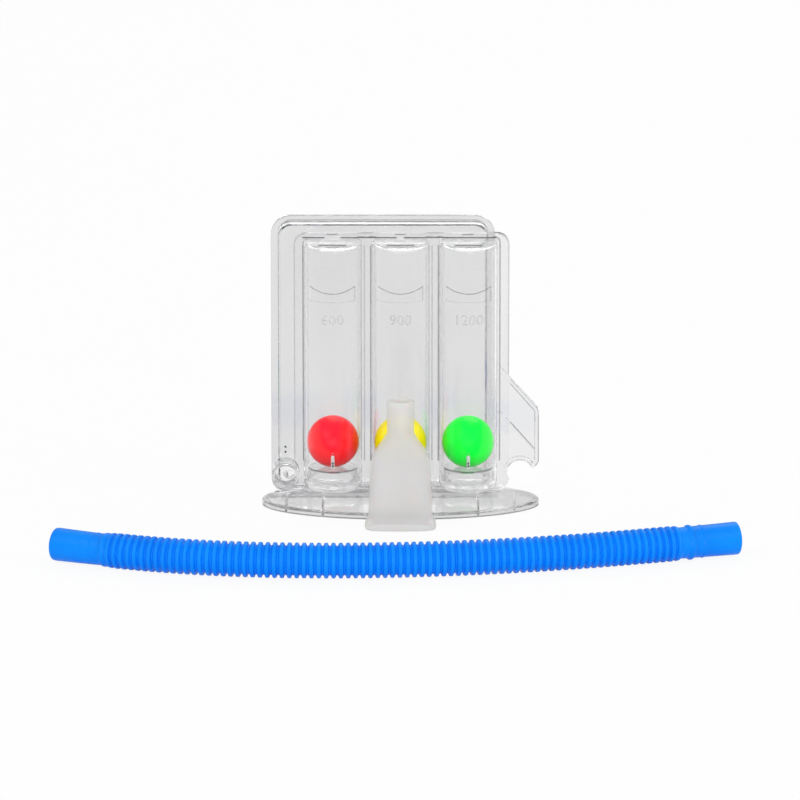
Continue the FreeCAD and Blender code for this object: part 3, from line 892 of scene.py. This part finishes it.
def arc(centre, r, start, end, steps=12):
    turns = [math.radians(start + (end - start) * i / steps) for i in range(steps + 1)]
    return [(centre[0] + r * math.cos(turn), centre[1] + r * math.sin(turn)) for turn in turns]


on_panel = partial(on_flat, 3.2)
on_flange = partial(on_flat, 5.1)
on_wing = partial(on_flat, 5.2)
on_lug = partial(on_flat, 4.2)
on_cover = partial(on_flat, 17.1)
print("foot edge mm:", [round(v / MM, 1) for v in on_foot(0.0, 0.0)])

# %% [markdown]
# Beads on the housing. A table lists them, each with its face, its half width, its rise, its look and its
# track. Every look is a line of painted shade. The panel is the wall behind the columns, the flange joins it
# to the manifold, and the wing on the right holds the parked mouthpiece.

# %% Beads on the housing
beads = []


def add_bead(label, place, half, rise, look, track):
    beads.append(fit_trim(ridge("bead_" + label, place, track, half, rise), look))


PANEL_LEFT, PANEL_RIGHT, PANEL_TOP = -47.8, 48.9, 133.2
SIDE_INSET, TOP_INSET = 0.4, 0.33
LEFT, RIGHT, TOP = PANEL_LEFT + SIDE_INSET, PANEL_RIGHT - SIDE_INSET, PANEL_TOP - TOP_INSET
BEAD_FOOT = 21.0
CORNER = 2.6
# Each look below is a painted shade line, the foot's bottom edge included.
HOUSING_BEADS = (
    ("panel_left", on_panel, 0.3, 0.3, painted_soft_shade_line,
     straight((LEFT, BEAD_FOOT), (LEFT, TOP - CORNER)) + arc((LEFT + CORNER, TOP - CORNER), CORNER, 180, 95)),
    ("panel_right", on_panel, 0.34, 0.3, painted_grey_shade_line, straight((RIGHT, BEAD_FOOT), (RIGHT, TOP - CORNER))),
    ("panel_corner", on_panel, 0.3, 0.3, painted_grey_shade_line, arc((RIGHT - CORNER, TOP - CORNER), CORNER, 0, 85)),
    ("foot_edge", on_foot, 0.3, 0.12, painted_grey_shade_line, straight((-155.0, 0.4), (-2.0, 0.4), 60)),
    ("flange_left", on_flange, 0.26, 0.2, painted_soft_shade_line,
     straight((-51.8, BEAD_FOOT), (-51.8, 128.6)) + arc((-46.2, 128.6), 5.6, 175, 95)),
    ("flange_top", on_flange, 0.22, 0.12, painted_faint_shade_line, straight((-44.0, 134.2), (46.4, 134.2))),
    ("flange_right", on_flange, 0.28, 0.2, painted_soft_shade_line,
     straight((52.8, 64.5), (52.8, 128.6)) + arc((47.2, 128.6), 5.6, 5, 85)),
    ("wing_top", on_wing, 0.24, 0.15, painted_soft_shade_line,
     straight((53.7, 61.5), (67.0, 46.7)) + straight((67.3, 45.6), (67.5, 43.8))),
    ("wing_band", on_wing, 0.22, 0.2, painted_grey_shade_line,
     straight((53.7, 59.3), (65.6, 45.6)) + straight((65.8, 44.8), (65.8, 40.0))),
    ("wing_band_low", on_wing, 0.2, 0.15, painted_soft_shade_line, straight((65.8, 39.5), (65.8, 21.0))),
    ("wing_brace", on_wing, 0.22, 0.2, painted_grey_shade_line, straight((53.7, 40.1), (65.4, 26.4))),
    ("wing_edge", on_wing, 0.24, 0.15, painted_grey_shade_line,
     straight((67.5, 43.6), (67.6, 20.4)) + straight((67.4, 19.8), (66.0, 17.6))),
    ("wing_notch", on_wing, 0.3, 0.2, painted_soft_shade_line, arc((58.6, 14.1), 6.75, 150, 35)),
)
for row in HOUSING_BEADS:
    add_bead(*row)
# Painted shade: a nearly black line along the panel's top edge, broken over the columns.
for number, (start, end) in enumerate(((-48.0, -37.0), (-29.2, -1.8), (1.7, 46.6))):
    add_bead(f"panel_top_{number}", on_panel, 0.32, 0.3, painted_dark_shade_line, straight((start, TOP), (end, TOP)))
print("beads on the housing:", len(beads))

# %% [markdown]
# Beads on the columns. Each column has a dark line of painted shade down its left side, a short dark lens of
# painted shade on its flat head, a dark painted line at the rim of the seat inside it and a grey one at a
# small lug on the flange above. A soft groove between every two columns is a line of painted shade.

# %% Beads on the columns
SEAT_RADIUS = 12.0
SEAT_RIM_HALF = 11.7
BEAD_TOP = 129.0
seat_rim = [(SEAT_RIM_HALF * math.sin(math.radians(-90 + 7.5 * i)), 20.45) for i in range(25)]
for number, x0 in enumerate(COLUMNS.values()):
    side = x0 - COLUMN_RADIUS - 0.3
    upright = straight((side, BEAD_FOOT), (side, BEAD_TOP))
    # Painted shade lines: grey down the side, dark on the head and at the seat rim, grey at the lug.
    add_bead(f"column_{number}", on_panel, 0.36, 0.4, painted_grey_shade_line, upright)
    add_bead(f"head_{number}", on_head, 0.5, 0.45, painted_dark_shade_line, straight((x0 - 6.6, -13.5), (x0 + 6.6, -13.5)))
    add_bead(f"seat_{number}", partial(on_round, x0, SEAT_RADIUS), 0.26, 0.16, painted_dark_shade_line, seat_rim)
    add_bead(f"lug_{number}", on_lug, 0.34, 0.2, painted_grey_shade_line, straight((x0 - 2.8, 134.2), (x0 + 2.4, 134.2)))
for number, x0 in enumerate((-16.5, 16.5)):
    groove = straight((x0 - 1.1, BEAD_FOOT), (x0 - 1.1, BEAD_TOP))
    add_bead(f"groove_{number}", on_panel, 0.3, 0.3, painted_soft_shade_line, groove)
print("beads so far:", len(beads))

# %% [markdown]
# Rings at the hose spigot. A swirl of painted shade stands there: grey arcs on the outside of the spigot and
# in its bore, fainter arcs on the back cover behind it, and a short grey tick. Every ring is a part
# of a circle at its own depth, so they never line up into a plain target.

# %% Spigot rings
SPIGOT_RINGS = (
    # depth, start and end along the circle, look
    (6.3, 3.2, 16.2, painted_grey_shade_line), (4.2, 2.5, 14.5, painted_faint_shade_line), (1.6, 8.5, 17.5, painted_soft_shade_line),
    (-1.0, 4.5, 19.5, painted_faint_shade_line), (-3.6, 11.5, 19.0, painted_grey_shade_line), (-4.9, -19.5, -9.0, painted_soft_shade_line),
)
BORE_RINGS = (
    (-4.0, -15.5, -3.0, painted_soft_shade_line), (-2.2, -13.0, -1.5, painted_faint_shade_line), (-0.4, -16.5, -5.5, painted_soft_shade_line),
    (1.5, -12.0, -2.5, painted_faint_shade_line), (3.3, -15.0, -4.0, painted_grey_shade_line), (5.6, -14.0, -1.5, painted_soft_shade_line),
    (4.4, 2.0, 9.5, painted_soft_shade_line), (0.6, 4.0, 13.5, painted_faint_shade_line),
)
SWIRLS = (
    # radius, start and end in degrees, look
    (1.2, 20, 250, painted_faint_shade_line), (2.1, 150, 330, painted_soft_shade_line), (2.6, -60, 100, painted_faint_shade_line),
    (3.0, 175, 300, painted_soft_shade_line),
)
# Painted shade: the arcs of the swirl at the spigot, in its bore and on the cover behind.
for number, (y, start, end, look) in enumerate(SPIGOT_RINGS):
    add_bead(f"spigot_{number}", on_spigot, 0.28, 0.2, look, straight((start, y), (end, y), 20))
for number, (y, start, end, look) in enumerate(BORE_RINGS):
    add_bead(f"bore_{number}", in_bore, 0.3, 0.26, look, straight((start, y), (end, y), 20))
for number, (r, start, end, look) in enumerate(SWIRLS):
    add_bead(f"swirl_{number}", on_cover, 0.34, 0.12, look, arc((-54.4, 11.4), r, start, end, 24))
add_bead("cover_tick", on_cover, 0.34, 0.2, painted_grey_shade_line, straight((-55.8, 9.2), (-55.6, 11.6)))
print("edge beads:", len(beads))

# %% [markdown]
# Gate bars. Where molten plastic entered the mould, a short round-topped bar is left on the front of each
# column, just before the ball's seat. Its skin is frosted, so it shines white before the coloured ball, and
# small dark pips show where the ejector pins touched. Two more pips sit on the wall above the hose spigot.

# %% Gate bars
BAR_LOW, BAR_HIGH = 22.6, 29.4
BAR_HALF = 0.88
BAR_RISE = 0.95


def round_bar(name, x0, steps=14):
    rings = []
    for i in range(steps + 1):
        turn = math.pi * (i / steps - 0.5)
        middle = (BAR_LOW + BAR_HIGH) / 2 + math.copysign((BAR_HIGH - BAR_LOW) / 2 - BAR_HALF, i - steps / 2)
        z = middle + BAR_HALF * math.sin(turn)
        wide = BAR_HALF * max(math.cos(turn), 0.05)
        ring = []
        for k in range(9):
            lean = math.pi * k / 8
            rise = BAR_RISE * math.sin(lean) * wide / BAR_HALF - 0.03
            ring.append(on_column(x0, wide * math.cos(lean), z, rise))
        ring.append(on_column(x0, 0.0, z, -0.3))
        rings.append(ring)
    return mesh_of_rings(name, rings, closed_ends=True)


pip_dark = pigmented(
    "dark_pip_plastic", (0.13, 0.12, 0.13, 1), (0.07, 0.065, 0.07, 1), 0.3, 0.45, drift=900.0,
)
for side, x0 in COLUMNS.items():
    fit_trim(round_bar(f"gate_bar_{side}", x0), gate_frost)
    for number, z in enumerate((25.66, 24.2)):
        fit_trim(pip(f"gate_pip_{side}_{number}", on_column(x0, 0.0, z, 0.86), FORWARD, 0.56, 0.4), pip_dark)
for number, z in enumerate((27.0, 24.5)):
    fit_trim(pip(f"wall_pip_{number}", Vector((-56.4, 6.66, z)) * MM, FORWARD, 0.55, 0.22), pip_dark)
print("gate bars:", len(COLUMNS))

# %% [markdown]
# The flow numbers. Blender's text object gives clean outlines and a bevel. It is turned into a mesh and then
# wrapped round the column by moving each point, so that every figure stands square on the curved wall.

# %% Flow numbers
FIGURE_HEIGHT = 5.0
FIGURE_FOOT = 94.6
FONT_PER_FIGURE = 1.38
figure_frost = frost_and_painted_lines("frosted_figure_plastic", grey(0.62, 0.01), grey(0.55, 0.01), 0.34)


def flow_number(figures, side, x0):
    text = bpy.data.curves.new("figures", "FONT")
    text.body = figures
    text.size = FIGURE_HEIGHT * FONT_PER_FIGURE
    text.align_x = "CENTER"
    text.extrude = 0.16
    text.bevel_depth = 0.08
    text.bevel_resolution = 1
    text.space_character = 1.08
    carrier = bpy.data.objects.new("figures", text)
    mesh = bpy.data.meshes.new_from_object(carrier)
    bpy.data.objects.remove(carrier)
    bpy.data.curves.remove(text)
    for vertex in mesh.vertices:
        x, y, z = vertex.co
        vertex.co = on_column(x0, x, FIGURE_FOOT + y, z - RIDGE_SINK)
    mesh.materials.clear()
    piece = bpy.data.objects.new(f"figures_{side}", mesh)
    bpy.context.collection.objects.link(piece)
    return fit_trim(piece, figure_frost)


for (side, x0), figures in zip(COLUMNS.items(), ("600", "900", "1200")):
    print(flow_number(figures, side, x0).name)

# %% [markdown]
# The stage. The floor is one pale sheet that runs past the picture's edges. Seen by the camera, or through
# the clear plastic, it is nearly pure white, and only part of its colour comes from the lamps, so that the
# soft shadow under the foot and the hose still shows without greying the paper.

# %% Stage
FLOOR_SIZE = 14.0
FLOOR_Z = -0.00015
OWN_WHITE = 0.92


def any_of_rays(tree, *kinds):
    path = add(tree, "ShaderNodeLightPath").outputs
    mask = path[kinds[0]]
    for kind in kinds[1:]:
        mask = larger_of(tree, mask, path[kind])
    return mask


def paper_material():
    made, tree = new_material("studio_paper")
    grain = put_group(tree, skin_group, Swell_Scale=90.0, Smudge_Scale=6.0, Smudge_Low=0.4)
    tone = put_group(tree, drift_group, Shade=grey(0.9), Deep_Shade=grey(0.89), Scale=4.0)
    sheet = add(
        tree, "ShaderNodeBsdfPrincipled",
        {
            "Base Color": tone.outputs["Color"], "Roughness": 0.9, "Specular IOR Level": 0.1,
            "Normal": swell_normal(tree, grain, 0.02, 0.0002),
        },
    )
    white = add(tree, "ShaderNodeEmission", {"Color": grey(1), "Strength": 1.0})
    seen = any_of_rays(tree, "Is Camera Ray", "Is Glossy Ray", "Is Transmission Ray")
    share = add(tree, "ShaderNodeMath", {0: seen, 1: OWN_WHITE}, operation="MULTIPLY")
    both = add(tree, "ShaderNodeMixShader", {0: share.outputs[0], 1: sheet.outputs[0], 2: white.outputs[0]})
    add(tree, "ShaderNodeOutputMaterial", {"Surface": both.outputs[0]})
    return made


bpy.ops.mesh.primitive_plane_add(size=FLOOR_SIZE, location=(0.0, 0.0, FLOOR_Z))
floor = bpy.context.object
floor.name = "studio_floor"
floor.data.materials.append(paper_material())
floor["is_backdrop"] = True
print("floor size m:", round(floor.dimensions.x, 1))

# %% [markdown]
# The light. A wide soft lamp from the upper left is the key, a second one fills from the right, a third
# stands low in front, and a fourth behind the object lights the clear edges. The world gives even light from
# all round. Its brightness is set for the plastics, and the camera sees plain white where the floor ends.

# %% Light
AIM = Vector((0.0, -0.03, 0.06))
LAMPS = {
    # place, width, height, watts
    "key_softbox": ((-1.5, -1.6, 2.1), 1.3, 1.3, 16.0),
    "fill_softbox": ((1.9, -1.1, 1.3), 1.0, 1.4, 11.0),
    "low_softbox": ((0.0, -2.4, 0.3), 1.8, 0.5, 16.0),
    "rear_softbox": ((0.4, 1.8, 1.9), 1.6, 0.8, 12.0),
}
ROOM_LIGHT = 0.62


def soft_lamp(name, spot, width, height, power):
    data = bpy.data.lights.new(name, "AREA")
    data.shape = "RECTANGLE"
    data.size = width
    data.size_y = height
    data.energy = power
    lamp = bpy.data.objects.new(name, data)
    lamp.location = spot
    lamp.rotation_euler = (AIM - Vector(spot)).to_track_quat("-Z", "Y").to_euler()
    bpy.context.collection.objects.link(lamp)


def studio_world():
    world = bpy.data.worlds.new("studio_world")
    world.use_nodes = True
    tree = world.node_tree
    tree.nodes.clear()
    room = add(tree, "ShaderNodeBackground", {"Color": grey(1), "Strength": ROOM_LIGHT})
    white = add(tree, "ShaderNodeBackground", {"Color": grey(1), "Strength": 1.0})
    seen = any_of_rays(tree, "Is Camera Ray", "Is Transmission Ray")
    both = add(tree, "ShaderNodeMixShader", {0: seen, 1: room.outputs[0], 2: white.outputs[0]})
    add(tree, "ShaderNodeOutputWorld", {"Surface": both.outputs[0]})
    return world


for name, settings in LAMPS.items():
    soft_lamp(name, *settings)
bpy.context.scene.world = studio_world()
print("lamps:", len(LAMPS))

# %% [markdown]
# The renderer's paths. Light that is caught in thick clear edges needs many bounces before it leaves them
# again. With too few, those edges turn black. The Standard view shows colours as they were written.

# %% Light paths
bpy.context.scene.view_settings.view_transform = "Standard"
paths = bpy.context.scene.cycles
paths.max_bounces = 64
paths.glossy_bounces = 48
paths.transmission_bounces = 48
paths.transparent_max_bounces = 32
print("bounces:", paths.max_bounces)

# %% [markdown]
# The last cell prints the dressed model's box beside the CAD box.

# %% Finish
visual_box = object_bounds()
for label, pair in (("cad", cad_box), ("visual", visual_box)):
    print(label, "box mm:", [[round(float(v) / MM, 1) for v in corner] for corner in pair])
